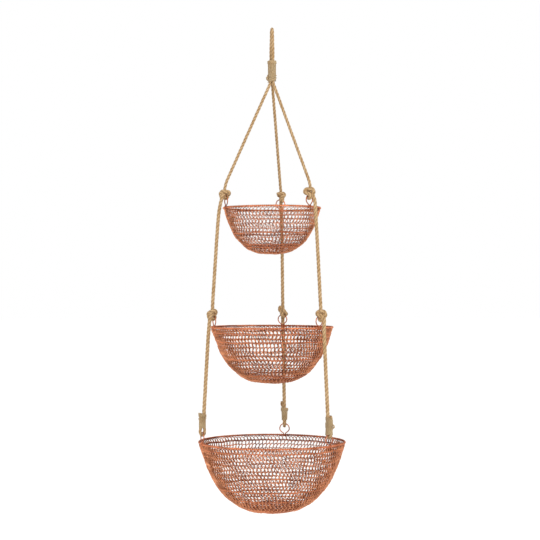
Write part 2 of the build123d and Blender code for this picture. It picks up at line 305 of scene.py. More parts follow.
def even_steps(tree, given):
    """The guide as a curve with points at even steps."""
    curve = add_node(tree, "GeometryNodeMeshToCurve", [given["Guide"]])
    return add_node(tree, "GeometryNodeResampleCurve", {
        "Curve": curve, "Length": given["Step"]}, mode="LENGTH")


def run_tree(tree, guide, name, material, **sizes):
    """Runs the tree on a guide and returns the result as a plain object at the origin."""
    holder = bpy.data.objects.new(name + "_guide", guide)
    scene.collection.objects.link(holder)
    modifier = holder.modifiers.new("build", "NODES")
    modifier.node_group = tree
    wanted = {label.replace("_", " "): value for label, value in sizes.items()}
    wanted["Material"] = material
    for item in tree.interface.items_tree:
        if item.in_out == "INPUT" and item.name in wanted:
            modifier[item.identifier] = wanted.pop(item.name)
    assert not wanted, f"{name}: the tree has no input {list(wanted)}"
    built = holder.evaluated_get(bpy.context.evaluated_depsgraph_get())
    mesh = bpy.data.meshes.new_from_object(built)
    bpy.data.objects.remove(holder)
    mesh.name = name
    piece = bpy.data.objects.new(name, mesh)
    scene.collection.objects.link(piece)
    return piece


# %% [markdown]
# ## Laid rope
#
# A laid rope is strands twisted round each other. One tree makes it: copy the guide once per strand,
# push each copy off the guide in a direction that turns as it goes along, and give it thickness.
# Jute is laid to the right, so the strands climb to the right when seen from the front.

# %% Laid rope tree
uneven_mm = 9


def build_laid_rope(tree, given):
    node = partial(add_node, tree)
    copies = node("GeometryNodeDuplicateElements", {
        "Geometry": even_steps(tree, given), "Amount": given["Strands"]}, domain="SPLINE")
    radius = node("ShaderNodeMath", [given["Diameter"], 0.5], operation="MULTIPLY")
    strand_r = node("ShaderNodeMath", [radius, given["Strand share"]], operation="MULTIPLY")
    centre_r = node("ShaderNodeMath", [radius, strand_r], operation="SUBTRACT")
    # The direction in which each copy is pushed off turns once in every lay.
    along = node("GeometryNodeSplineParameter").outputs["Length"]
    turns = node("ShaderNodeMath", [along, given["Lay"]], operation="DIVIDE")
    which = copies.outputs["Duplicate Index"]
    shift = node("ShaderNodeMath", [which, given["Strands"]], operation="DIVIDE")
    turns = node("ShaderNodeMath", [turns, shift], operation="ADD")
    angle = node("ShaderNodeMath", [turns, tau], operation="MULTIPLY")
    cosine = node("ShaderNodeMath", [angle], operation="COSINE")
    sine = node("ShaderNodeMath", [angle], operation="SINE")
    tangent = node("GeometryNodeInputTangent")
    normal = node("GeometryNodeInputNormal")
    across = node("ShaderNodeVectorMath", [tangent, normal], operation="CROSS_PRODUCT")
    one_way = node("ShaderNodeVectorMath", [normal, cosine], operation="SCALE")
    other_way = node("ShaderNodeVectorMath", [across, sine], operation="SCALE")
    outwards = node("ShaderNodeVectorMath", [one_way, other_way], operation="ADD")
    # The rope isn't laid quite even: a slow noise moves the strands a little.
    here = node("GeometryNodeInputPosition")
    noise = node("ShaderNodeTexNoise", [here, 1 / (uneven_mm * MM), 1.0]).outputs["Color"]
    noise = node("ShaderNodeVectorMath", [noise, (0.5, 0.5, 0.5)], operation="SUBTRACT")
    wander = node("ShaderNodeVectorMath", [noise, given["Unevenness"]], operation="SCALE")
    pushed = node("ShaderNodeVectorMath", [outwards, centre_r], operation="SCALE")
    offset = node("ShaderNodeVectorMath", [pushed, wander], operation="ADD")
    # The lines and the section carry their own places, and the tube made of them keeps both.
    section = node("GeometryNodeCurvePrimitiveCircle", [given["Sides"], strand_r])
    section = node("GeometryNodeStoreNamedAttribute", {
        "Geometry": section, "Name": "around", "Value": here}, data_type="FLOAT_VECTOR", domain="POINT")
    strands = copies
    for label, value, kind in (("outwards", outwards, "FLOAT_VECTOR"), ("along", along, "FLOAT")):
        strands = node("GeometryNodeStoreNamedAttribute", {
            "Geometry": strands, "Name": label, "Value": value}, data_type=kind, domain="POINT")
    strands = node("GeometryNodeSetPosition", {"Geometry": strands, "Offset": offset})
    tube = node("GeometryNodeCurveToMesh", {
        "Curve": strands, "Profile Curve": section, "Fill Caps": True})
    kept = {label: node("GeometryNodeInputNamedAttribute", [label], data_type=kind) for label, kind in (
        ("around", "FLOAT_VECTOR"), ("outwards", "FLOAT_VECTOR"), ("along", "FLOAT"))}
    # What the jute material reads: the place on the yarn, and how far out on the rope it is.
    around = node("ShaderNodeSeparateXYZ", [kept["around"]]).outputs
    yarn = node("ShaderNodeCombineXYZ", [around["X"], around["Y"], kept["along"]])
    # `groove` tells the jute material where to paint shade in the valleys.
    facing = node("ShaderNodeVectorMath", [normal, kept["outwards"]], operation="DOT_PRODUCT")
    for label, value, kind in (("yarn", yarn, "FLOAT_VECTOR"), ("groove", facing, "FLOAT")):
        tube = node("GeometryNodeStoreNamedAttribute", {
            "Geometry": tube, "Name": label, "Value": value}, data_type=kind, domain="POINT")
    end_tree(tree, tube, given)


laid_rope, given = new_tree("laid_rope", {
    "Diameter": 7 * MM, "Lay": 25 * MM, "Strands": 3, "Step": 1.4 * MM, "Sides": 10,
    "Strand share": 0.62, "Unevenness": 0.5 * MM,
})
build_laid_rope(laid_rope, given)

# %% [markdown]
# ## Places near a ring
#
# The knots and the eyes are drawn from the photograph. What is read there is how far a point
# lies to the right of a ring's foot, how far above it, and, by judgement, how far in front. So their
# points are written in that way.

# %% Places near a ring
TIERS = {"small": "upper_tier", "medium": "middle_tier", "large": "lower_tier"}


def near_ring(name, side, right, near, up):
    """A point in metres, from where a ring stands on its hoop, in mm as seen from the front."""
    bowl = BOWLS[name]
    return place(SIDES[side], bowl["hoop_r"], bowl["rim_z"]) + Vector((right, -near, up)) * MM


# %% [markdown]
# ## The nine rope spans
#
# Each main rope is tied at the small and at the medium bowl, so it has three straight spans. They are
# held taut by the bowls' weight. The whole rope could be one piece, but then it couldn't bend where
# the bowls swing. So each span is a cord that leaves one piece and ends in another, and it rides on the
# body that the model gives it. A span under a knot starts hidden inside that knot, because rope that
# comes out of a knot has no visible end.

# %% Where the ropes go into the knots and come out of them
KNOT_MIDDLES = {
    "small": {"left": (-2.7, 0, 27), "back": (2, -1, 29), "right": (1, 0, 29)},
    "medium": {"left": (-4, 0, 27), "back": (1, -1, 30), "right": (4, 0, 28)},
    "large": {"left": (3, -1, 54), "back": (-0.5, 3.2, 54), "right": (-2.4, -2, 54)},
}
KNOT_OUTLETS = {
    ("small", "left"): ((-4, 3, 28.5), (-7, 6.5, 23.5), (-9.8, 7, 14), (-12.6, 5.5, 2)),
    ("small", "back"): ((2, -6, 29), (1.5, -9.5, 22), (1.2, -13, 12)),
    ("small", "right"): ((4, 0.5, 28), (8, 3.5, 21.5), (11, 7, 12), (11.6, 9, 1)),
    ("medium", "left"): ((-5, 3.5, 28), (-8, 6.5, 23), (-9.6, 6.5, 14), (-10.4, 4.5, 3)),
    ("medium", "back"): ((1, -5.5, 29), (0.5, -8.5, 21), (0.8, -10.5, 11)),
    ("medium", "right"): ((6.5, 0, 27), (9.5, 3.5, 21.5), (10.3, 6, 13), (9.3, 7, 3)),
}


# %% A rope on a body
def rope(name, points, body, node, diameter=rope_d, **sizes):
    """A laid rope past the control points, which rides on a body and stands for a node."""
    guide = smooth_guide(points, name)
    piece = run_tree(laid_rope, guide, name, rope_jute, Diameter=diameter * MM, **sizes)
    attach(piece, body)
    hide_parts(node)
    line = line_of(guide)
    print(f"{name}: {length_of(line):.3f} m of rope")
    return piece, line


def taut_rope(name, points, body, node, diameter=rope_d, **sizes):
    """A rope that its load holds taut."""
    piece, line = rope(name, points, body, node, diameter, **sizes)


# %% Rope spans
# The rope thins a little towards the top in the photograph.
span_d = {"upper": 6.4, "middle": 7.5, "lower": 7.9}
# A rope held taut is straight from a few diameters past its ends.
straight_from = 6 * rope_d * MM
# Out of the binding, as distances to the axis and heights. The others are heights over a rim.
UNDER_BINDING = ((3.3, -101.0), (3.5, -108.0), (6.8, -115.0))
way_in_up = {"small": 40.0, "medium": 40.0, "large": 60.5}
way_out_up = 18.2


def way_in(name, azimuth):
    """Where a rope arrives over a bowl's rim."""
    bowl = BOWLS[name]
    return place(azimuth, bowl["hoop_r"] + bowl["rope_in"], bowl["rim_z"] + way_in_up[name])


def straight_run(start, end):
    """Two points that keep the rope straight between start and end."""
    slope = (end - start).normalized()
    return [start + slope * straight_from, end - slope * straight_from]


for side, azimuth in SIDES.items():
    ends = {name: near_ring(name, side, *KNOT_MIDDLES[name][side]) for name in BOWLS}
    points = [place(azimuth, out, up) for out, up in UNDER_BINDING]
    foot = way_in("small", azimuth)
    points += [*straight_run(points[-1], foot), foot, ends["small"]]
    taut_rope(f"upper_span_{side}", points, "upper_tier", f"upper_rope_{side}", span_d["upper"])
    for span, above, below in (("middle", "small", "medium"), ("lower", "medium", "large")):
        bowl = BOWLS[above]
        start = place(azimuth, bowl["hoop_r"] + bowl["rope_out"], bowl["rim_z"] + way_out_up)
        end = way_in(below, azimuth)
        points = [near_ring(above, side, *spot) for spot in KNOT_OUTLETS[above, side]]
        points += [*straight_run(start, end), end, ends[below]]
        # These spans' bodies and nodes share a name.
        body = node = f"{span}_rope_{side}"
        taut_rope(f"{span}_span_{side}", points, body, node, span_d[span])

# %% [markdown]
# ## The hanging loop
#
# One rope is bent double and bound. Seen from the front the loop stands almost edge-on. Its two legs
# twist a little where they go into the binding, so both show side by side there. A plain bent tube
# would lose that twist, so the loop is a route whose two halves mirror each other.

# %% Hanging loop
# One leg, as directions round the axis in degrees, distances to the axis and heights.
LOOP_LEG = ((118.0, 3.3, -70.0), (118.0, 3.65, -61.2), (118.0, 3.9, -55.2), (103.0, 8.4, -38.0),
            (97.0, 8.2, -10.0), (97.0, 6.8, 3.5))
loop_points = [place(azimuth, out, up) for azimuth, out, up in LOOP_LEG]
loop_points += [place(azimuth, -out, up) for azimuth, out, up in LOOP_LEG[::-1]]
taut_rope("hanging_loop_rope", loop_points, "hanging_loop", "loop_rope", Step=1.1 * MM)

# %% [markdown]
# ## Knots over the small and the medium bowl
#
# Each rope is tied in an overhand knot through a wire ring. The knot could be a lump with strands
# painted on, but a knot is its rope: what makes it look tied is where the rope passes over itself. So
# each knot is one route, and the laid rope tree gives it strands. No two of the six are alike. Each
# starts and ends inside the knot, where the spans' ends are. The rope is drawn a little thick, because
# a tight knot squeezes its turns into each other.

# %% Knots
knot_rope_d = 8.4
KNOTS = {
    ("small", "left"): (
        (-1.1, -0.4, 34), (-2.1, -3.6, 29.3), (0.7, -4.5, 24.6), (3.2, -1.3, 20.3), (-0.5, 1.5, 18),
        (-5.6, 0.1, 19.6), (-10.4, -0.9, 20.7), (-11.6, 0.5, 28.9), (-6.9, 4.7, 32.4),
        (-0.7, 5.1, 30.9), (5.7, 4.2, 31.7), (6.2, -0.9, 26.6), (0.1, -4.1, 23.9),
        (-4.6, -1.8, 25.8), (-4.6, 3.3, 27.8)),
    ("small", "back"): (
        (1.1, -0.5, 37.4), (2.7, -3.7, 32.6), (4.6, -3.7, 26.6), (4.4, -1, 20.6), (1.8, 2.7, 18),
        (0.6, 4.5, 23.4), (4.1, 5, 28.6), (9.1, 2.2, 31.8), (6.3, 3.6, 36.6), (0.7, 5, 34.2),
        (-4.5, 3.6, 36.2), (-4.5, -1, 33.4), (-0.1, -4.7, 30.2), (1.9, -7.4, 27)),
    ("small", "right"): (
        (-1.1, 0.1, 34.4), (-0.1, -3.9, 28.7), (-0.8, -4.4, 22.9), (-2.8, -0.8, 18.2),
        (-0.8, 2.8, 15.7), (2.8, 4.2, 19), (0.9, 6, 24), (-3.8, 5.1, 25.8), (-8.7, 2.8, 27.2),
        (-8.7, 0.6, 33.7), (-3.1, -0.8, 35.2), (0.5, 3.7, 33), (4.8, 3.3, 35.9), (9.1, 1.5, 31.6),
        (7.5, 2.8, 24.4), (3.5, -0.8, 22.9)),
    ("medium", "left"): (
        (-3.5, -1, 32.9), (-2.7, -4.1, 27.8), (1, -3.6, 23.4), (0.2, -0.5, 18.3), (-4.2, 1.3, 17.2),
        (-8.7, 0, 18.3), (-12.4, 0, 24.9), (-10.5, 1.3, 31.5), (-5, 4.9, 32.2), (-0.5, 4, 34.8),
        (3.2, 0.9, 32.9), (2.1, -3.6, 27.1), (-3.5, -3.6, 24.2), (-5.3, 2.6, 27.1)),
    ("medium", "back"): (
        (0.5, -0.6, 39.2), (0.9, -4.6, 32.8), (3.1, -4.6, 26.4), (3.1, -1, 19.2), (0.5, 2.6, 18),
        (-1.3, 3.9, 24.8), (-2.1, 2.6, 30.4), (-6.9, -0.1, 34.4), (-4.3, 1.2, 40.4), (0.9, 5.3, 35.6),
        (4.6, 4.8, 28.8), (8.7, 0.8, 24.4), (5.3, -4.6, 23.2), (0.9, -6.9, 27.2)),
    ("medium", "right"): (
        (3.9, -0.3, 33.6), (2.8, -4.4, 28.3), (1.4, -3.5, 22.2), (0.7, 0.1, 16.5), (4.2, 3.7, 14.6),
        (7.4, 3.7, 19.2), (4.2, 6, 24.1), (-0.7, 5.1, 25.3), (-4.5, 1, 28.7), (-1, -0.8, 34.4),
        (3.5, 3.3, 32.1), (8.4, 2.8, 34.4), (13.3, 1.9, 28.3), (10.5, 2.8, 22.2), (6.7, -1.7, 24.5)),
}
for (name, side), route in KNOTS.items():
    points = [near_ring(name, side, *spot) for spot in route]
    rope(f"{name}_knot_{side}", points, TIERS[name], f"{name}_bowl_knot_{side}", knot_rope_d,
         Step=1.0 * MM)

# %% [markdown]
# ## Eyes over the large bowl
#
# Each rope ends in an eye: it goes through its ring, comes back up beside itself and is bound there.
# The three eyes are alike up to the cut end, so they share a route and each has its own tail. The back
# one's stands out above its binding, to the left as seen from the front.

# %% Eyes
eye_rope_d = 6.6
large = BOWLS["large"]
# How far outside the hoop and above the rim, for the bend. A tail's points also say how far along
# the rim.
EYE_BEND = ((-3.15, 62.5), (-3.15, 48), (-3.2, 36), (-4.7, 28), (-4.3, 21), (0, 17.6), (4.3, 21),
            (4.7, 28), (3.2, 36), (3.15, 48), (3.15, 56))
EYE_TAILS = {
    "left": ((3.4, 60.0, 0.0),),
    "back": ((3.6, 60.5, 4.6), (3.0, 65.0, 6.4), (3.2, 71.0, 6.2)),
    "right": ((4.6, 61.5, 0.0),),
}
for side, azimuth in SIDES.items():
    route = [*EYE_BEND, *EYE_TAILS[side]]
    points = [place(azimuth, large["hoop_r"] + out, large["rim_z"] + up, *along)
              for out, up, *along in route]
    rope(f"eye_{side}", points, "lower_tier", f"lower_eye_{side}", eye_rope_d, Step=1.0 * MM)

# %% [markdown]
# ## Twine bindings
#
# Two-ply twine is wound tight round the rope's legs and tied off. Each turn lies against the last, the
# turns lean a little, and the last few cross the others where the end was tucked in. A sleeve with
# grooves would show no end and no crossing, so a binding is one long route as well: a spiral round the
# legs, with the hand's unevenness added by the tree. The turns nest into each other, so the twine is
# drawn a little thicker than in the model.

# %% Twine bindings
twine_d = 1.8 * 1.15
points_a_turn = 12
# A spline cuts inside its points, so the spiral is drawn this much wider.
wider = 1.04


def twine(name, points, body, nodes):
    """Two-ply twine past the points, riding on a body and standing for some nodes."""
    guide = smooth_guide(points, name)
    piece = run_tree(laid_rope, guide, name, twine_jute, Diameter=twine_d * MM, Lay=7.5 * MM,
                     Strands=2, Sides=6, Step=0.9 * MM)
    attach(piece, body)
    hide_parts(*nodes)
    print(f"{name}: {length_of(line_of(guide)):.2f} m of twine")


def wound(azimuth, centre, low, high, turns, wide, deep, lean=0.0, swell=(0, 0)):
    """A spiral from low to high, in mm, wide outwards and deep along. swell widens its two ends."""
    count = int(turns * points_a_turn)
    route = []
    for k in range(count + 1):
        share, turn = k / count, tau * k / points_a_turn
        more = wider + swell[0] * (1 - share) ** 3 + swell[1] * share ** 3
        out, along = wide * more * cos(turn), deep * more * sin(turn)
        up = low + share * (high - low) + lean * cos(turn)
        route.append(place(azimuth, centre + out, up, along))
    return route


# The ropes' binding: its plain winding, a collar at its top, turns that cross it low on its left and
# a small tie over those.
top_wraps = wound(15, 0, -103.2, -62.4, 22, 7.5, 7.5, lean=0.7, swell=(0.03, 0.07))
twine("top_binding", top_wraps, "binding", ["binding_twine", "binding_rope_bundle"])
collar = wound(60, 0, -67.4, -63.2, 2.6, 8.7, 8.6, lean=-0.8)
twine("top_collar", collar, "binding", ["binding_twine"])
crossing = wound(200, -0.3, -102.5, -91.5, 2.2, 8.8, 8.8, lean=-4.0)
twine("top_crossing", crossing, "binding", ["binding_twine"])
tie_azimuth = 190
tie = [(8.6, -90.5, -3), (9.3, -93, 1), (9.8, -97.5, 4), (9.6, -101, 1), (10.8, -99.5, -3),
       (11.3, -95.5, -2), (10.9, -95, 2.5), (9.8, -99, 3.5), (9.6, -102.5, 0), (8.9, -101, -4.5)]
twine("top_tie", [place(tie_azimuth, *spot) for spot in tie], "binding", ["binding_twine"])

# Each eye's own turns: the plain winding, then the turns that lie over it. A row is the heights of its
# ends over the rim, then wound's turns, wide, deep and lean, and its swell if it has one.
EYE_WRAPS = {
    "left": [(33, 55.5, 12.5, 6.5, 3.7, 0.5), (55.5, 62.0, 3.2, 7.7, 5.0, 1.4),
             (50.5, 53.0, 1.3, 7.5, 4.7, -0.6)],
    "back": [(31.5, 58.0, 14.5, 7.3, 5.4, -0.7, (-0.06, 0.24)), (51.0, 57.0, 2.4, 8.8, 7.4, -2.0)],
    "right": [(23.5, 53.0, 16.5, 7.0, 4.2, 0.8, (0.16, 0.03)), (39.5, 50.5, 4.4, 8.2, 5.4, 2.6),
              (51.0, 58.5, 3.3, 7.4, 4.9, -1.2)],
}
for side, azimuth in SIDES.items():
    for k, (low, high, *turns) in enumerate(EYE_WRAPS[side]):
        low, high = low + large["rim_z"], high + large["rim_z"]
        route = wound(azimuth, large["hoop_r"], low, high, *turns)
        twine(f"eye_binding_{side}_{k + 1}", route, "lower_tier", [f"lower_binding_{side}"])

# The right one's tie stands out beside it, towards the room.
tie = [(5, 5, 33), (7.5, 4.5, 36), (10, 2, 40), (9, 3.5, 44), (6.5, 6, 42), (8, 6.5, 38.5),
       (10.5, 3.5, 37), (10.8, 0.5, 41), (8, 0.5, 44.5), (5.5, 4, 45.5)]
points = [near_ring("large", "right", *spot) for spot in tie]
twine("eye_tie_right", points, "lower_tier", ["lower_binding_right"])

# %% [markdown]
# ## Wire rings
#
# Nine rings of thicker copper wire stand on the rims. Each is bent from one piece: the two ends come
# together in a V at the foot and turn once round the hoop. A torus would be quicker, but nothing would
# hold it, so each ring is a route for the wire, swept with a round section.

# %% Plain wire tree
plain_wire, given = new_tree("plain_wire", {"Step": 0.9 * MM, "Wire radius": 1.1 * MM, "Sides": 12})
section = [given["Sides"], given["Wire radius"]]
section = add_node(plain_wire, "GeometryNodeCurvePrimitiveCircle", section)
swept = add_node(plain_wire, "GeometryNodeCurveToMesh", {
    "Curve": even_steps(plain_wire, given), "Profile Curve": section, "Fill Caps": True})
end_tree(plain_wire, swept, given)

# %% Wire rings
ring_wire_d = 2.2
ring_across = 21.5
ring_centre = 13.5
# The spline cuts inside its points, so they stand a little outside the ring's own radius.
ring_r = (ring_across - ring_wire_d) / 2 / 0.985
# The large bowl's rings are bent wider, and no ring is quite round.
looser = {"small": 1.0, "medium": 1.0, "large": 1.1}
rounder = {"left": 1.0, "back": 0.97, "right": 1.03}
# One of the foot's two ends, from its tip to the ring: along the rim, above it, outside the hoop.
RING_FOOT = [(3.9, 1.4, -2.3), (3.6, -2.0, -1.8), (2.9, -2.3, 1.6), (1.9, 0.8, 2.6), (1.9, 3.4, 0.6),
             (6.0, 6.2, 0.0)]
for name, bowl in BOWLS.items():
    for side, azimuth in SIDES.items():
        tall = ring_r * looser[name]
        wide = tall * rounder[side]
        # The ring itself, 110 degrees to each side of its top.
        arc = []
        for step in range(-110, 111, 22):
            turn = radians(step)
            arc.append((wide * sin(turn), ring_centre + tall * cos(turn), 0.0))
        route = [(-along, up, out) for along, up, out in RING_FOOT] + arc + RING_FOOT[::-1]
        points = [place(azimuth, bowl["hoop_r"] + out, bowl["rim_z"] + up, along)
                  for along, up, out in route]
        guide = smooth_guide(points, f"{name}_ring_{side}")
        ring = run_tree(plain_wire, guide, f"{name}_ring_{side}", rim_copper,
                        Wire_radius=ring_wire_d / 2 * MM)
        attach(ring, TIERS[name])
        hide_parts(f"{name}_bowl_ring_{side}")

# %% [markdown]
# ## The wire bowls' shape
#
# A crocheted bowl has no smooth skin: what gives its shape is the height and the width of each round
# of stitches. So the bowl's profile is written once, as shares of its rim's radius and of its depth,
# and smoothed. Each round of stitches is then a level circle at some distance down that profile.

# %% Profile of a bowl
BOWL_SHAPE = ((1.0, 0.0), (0.975, 0.09), (0.945, 0.18), (0.905, 0.30), (0.855, 0.43), (0.79, 0.56),
              (0.70, 0.70), (0.60, 0.81), (0.48, 0.90), (0.36, 0.96), (0.22, 0.99), (0.10, 1.0),
              (0.0, 1.0))
wall_thick = 1.6


def profile(bowl):
    """The wall's middle line as arrays of distance down it, radius and height, in millimetres."""
    top = bowl["rim_z"] - rim_wire_d / 2
    height = bowl["depth"] - (rim_wire_d + wall_thick) / 2
    corners = [Vector((share * bowl["hoop_r"], 0, top - down * height)) for share, down in BOWL_SHAPE]
    line = line_of(smooth_guide(corners, "profile"))
    steps = [0.0]
    for a, b in zip(line, line[1:]):
        steps.append(steps[-1] + (b - a).length)
    return np.array(steps), np.array([p.x for p in line]), np.array([p.z for p in line])


# %% [markdown]
# ## Guides for rounds of stitches
#
# Each round is a closed circle of points. The points carry what a stitch needs to know: which way is
# out of the wall, which way is up the wall, how many stitches the round has, how tall they are, how far
# they lean and how many wires there are. A node tree turns those numbers into wire.

# %% Guides for rounds
# Each round is a dict of radius, z, slope and start, in mm and radians, and of what a tree reads.
READ_BY_TREES = {"up_wall": "FLOAT_VECTOR", "off_wall": "FLOAT_VECTOR", "stitches": "FLOAT",
                 "tall": "FLOAT", "lean": "FLOAT", "wires": "FLOAT"}


def round_guides(name, rounds):
    """One mesh of closed circles, with two points a stitch and at least 36."""
    places, edges, values = [], [], {label: [] for label in READ_BY_TREES}
    for ring in rounds:
        count = max(36, ring["stitches"] * 2)
        first = len(places)
        for k in range(count):
            turn = tau * k / count + ring["start"]
            out = Vector((cos(turn), sin(turn), 0))
            places.append((out * ring["radius"] + Vector((0, 0, ring["z"]))) * MM)
            edges.append((first + k, first + (k + 1) % count))
            steep, flat = cos(ring["slope"]), sin(ring["slope"])
            values["up_wall"].append((out * flat + Vector((0, 0, steep))).normalized())
            values["off_wall"].append((out * steep - Vector((0, 0, flat))).normalized())
            values["tall"].append(ring["tall"] * MM)
            for label in ("stitches", "lean", "wires"):
                values[label].append(ring[label])
    mesh = bpy.data.meshes.new(name)
    mesh.from_pydata(places, edges, [])
    for label, kind in READ_BY_TREES.items():
        attribute = mesh.attributes.new(label, kind, "POINT")
        key = "vector" if kind == "FLOAT_VECTOR" else "value"
        attribute.data.foreach_set(key, np.array(values[label], dtype=np.float32).ravel())
    return mesh


# %% [markdown]
# ## Stitches
#
# Wire crochet is a chain of tall loops. Each loop rises, turns over and crosses its own foot. A point
# that goes round a small circle while it travels along the guide draws just that curve. It is
# pushed outwards on one leg and inwards on the other, so that the wire passes itself where it
# crosses. A slow noise and a quick one pull the wire out of line, as the crocheter's hand did.

# %% What both wire trees share
wander_mm, jitter_mm = 24, 4.5


def hand_wobble(tree, amount, size_mm, seed):
    """A push in any direction, nearly the same for wires that lie closer than size_mm."""
    here = add_node(tree, "GeometryNodeInputPosition")
    here = add_node(tree, "ShaderNodeVectorMath", [here, (seed, 0, 0)], operation="ADD")
    noise = add_node(tree, "ShaderNodeTexNoise", [here, 1 / (size_mm * MM), 1.0]).outputs["Color"]
    centred = add_node(tree, "ShaderNodeVectorMath", [noise, (0.5, 0.5, 0.5)], operation="SUBTRACT")
    return add_node(tree, "ShaderNodeVectorMath", [centred, amount], operation="SCALE")


def bend_to_wire(tree, given, curve, moves, proud, seed):
    """Moves the curve's points by the moves and by the hand's, and gives the curve its wire."""
    total = moves[0]
    wander = hand_wobble(tree, given["Wander"], wander_mm, 0.0)
    jitter = hand_wobble(tree, given["Jitter"], jitter_mm, seed)
    for move in (*moves[1:], wander, jitter):
        total = add_node(tree, "ShaderNodeVectorMath", [total, move], operation="ADD")
    # `proud` is how far the wire stands out, where the copper material paints light and shade.
    curve = add_node(tree, "GeometryNodeStoreNamedAttribute", {
        "Geometry": curve, "Name": "proud", "Value": proud}, data_type="FLOAT", domain="POINT")
    bent = add_node(tree, "GeometryNodeSetPosition", {"Geometry": curve, "Offset": total})
    section = [given["Sides"], given["Wire radius"]]
    section = add_node(tree, "GeometryNodeCurvePrimitiveCircle", section)
    wire = add_node(tree, "GeometryNodeCurveToMesh", {"Curve": bent, "Profile Curve": section})
    end_tree(tree, wire, given)


# %% Stitch tree
def build_stitches(tree, given):
    node = partial(add_node, tree)
    point = {label: node("GeometryNodeInputNamedAttribute", [label], data_type=kind)
             for label, kind in READ_BY_TREES.items()}
    share = node("GeometryNodeSplineParameter").outputs["Factor"]
    turn = node("ShaderNodeMath", [share, tau], operation="MULTIPLY")
    angle = node("ShaderNodeMath", [turn, point["stitches"]], operation="MULTIPLY")
    sine = node("ShaderNodeMath", [angle], operation="SINE")
    cosine = node("ShaderNodeMath", [angle], operation="COSINE")
    rise = node("ShaderNodeMath", [point["tall"], cosine], operation="MULTIPLY")
    loop = node("ShaderNodeMath", [given["Loop width"], sine], operation="MULTIPLY")
    leaning = node("ShaderNodeMath", [rise, point["lean"], loop], operation="MULTIPLY_ADD")
    depth = node("ShaderNodeMath", [given["Relief"], sine], operation="MULTIPLY")
    moves = [
        node("ShaderNodeVectorMath", [node("GeometryNodeInputTangent"), leaning], operation="SCALE"),
        node("ShaderNodeVectorMath", [point["up_wall"], rise], operation="SCALE"),
        node("ShaderNodeVectorMath", [point["off_wall"], depth], operation="SCALE"),
    ]
    bend_to_wire(tree, given, even_steps(tree, given), moves, sine, seed=3.0)


stitch_tree, given = new_tree("wire_stitches", {
    "Step": 0.75 * MM, "Wire radius": 0.85 * MM, "Sides": 5, "Loop width": 1.95 * MM,
    "Relief": 0.8 * MM, "Wander": 4.4 * MM, "Jitter": 0.7 * MM,
})
build_stitches(stitch_tree, given)

# %% [markdown]
# ## Ridges between the rounds
#
# Where one round hooks into the next, a wire runs level round the bowl, and in some places three lie
# close together and turn round each other. From a step away they read as darker level lines. They
# could be plain hoops, but those would lie too straight among the stitches, so a tree copies each
# guide once a wire and turns the copies round it. The same tree winds the wire on a rim.


# %% Ridge tree
def build_wound_wire(tree, given):
    node = partial(add_node, tree)
    point = {label: node("GeometryNodeInputNamedAttribute", [label], data_type=kind)
             for label, kind in READ_BY_TREES.items()}
    amount = node("FunctionNodeFloatToInt", [point["wires"]])
    copies = node("GeometryNodeDuplicateElements", {
        "Geometry": even_steps(tree, given), "Amount": amount}, domain="SPLINE")
    share = node("GeometryNodeSplineParameter").outputs["Factor"]
    which = copies.outputs["Duplicate Index"]
    shift = node("ShaderNodeMath", [which, point["wires"]], operation="DIVIDE")
    turns = node("ShaderNodeMath", [share, point["stitches"], shift], operation="MULTIPLY_ADD")
    angle = node("ShaderNodeMath", [turns, tau], operation="MULTIPLY")
    sine = node("ShaderNodeMath", [angle], operation="SINE")
    cosine = node("ShaderNodeMath", [angle], operation="COSINE")
    rise = node("ShaderNodeMath", [cosine, point["tall"]], operation="MULTIPLY")
    depth = node("ShaderNodeMath", [sine, point["tall"]], operation="MULTIPLY")
    depth = node("ShaderNodeMath", [depth, given["Roundness"]], operation="MULTIPLY")
    moves = [
        node("ShaderNodeVectorMath", [point["up_wall"], rise], operation="SCALE"),
        node("ShaderNodeVectorMath", [point["off_wall"], depth], operation="SCALE"),
    ]
    bend_to_wire(tree, given, copies, moves, sine, seed=5.0)


wound_wire, given = new_tree("wound_wire", {
    "Step": 1.1 * MM, "Wire radius": 0.55 * MM, "Sides": 5, "Roundness": 0.7, "Wander": 4.4 * MM,
    "Jitter": 0.7 * MM,
})
build_wound_wire(wound_wire, given)

# %% [markdown]
# ## The three bowls
#
# The photograph shows about eight rounds on the small bowl's side, eleven on the medium one's and
# fourteen on the large one's, and a tighter foot. A few rounds are taller than the rest. The real wire
# is too thin to show in full at this distance, so it's drawn thicker, to look as dense as it does
# there. Wire at this count is heavy, so each bowl is made in bands that stay light enough to export
# whole.

# %% Rounds of a bowl
stitch_w = 7.7
row_h = 8.6
row_varies = (0.88, 1.12)
tall_row, foot_row = 1.35, 0.72
tall_rounds = {"small": (4, 6), "medium": (5, 7), "large": (4,)}
# The foot starts where the bowl has narrowed to this share of its rim, and ends at a small hole.
foot_starts = 0.45
hole_r, last_row = 5, 6
# Most rounds lean to one side, some to the other.
stitch_leans, lean_sides = (0.15, 0.5), (0.3, 0.7)
bundle_chance = 0.3
bundle_r, single_r = 1.45, 0.6
bowl_seeds = {"small": 3, "medium": 5, "large": 8}


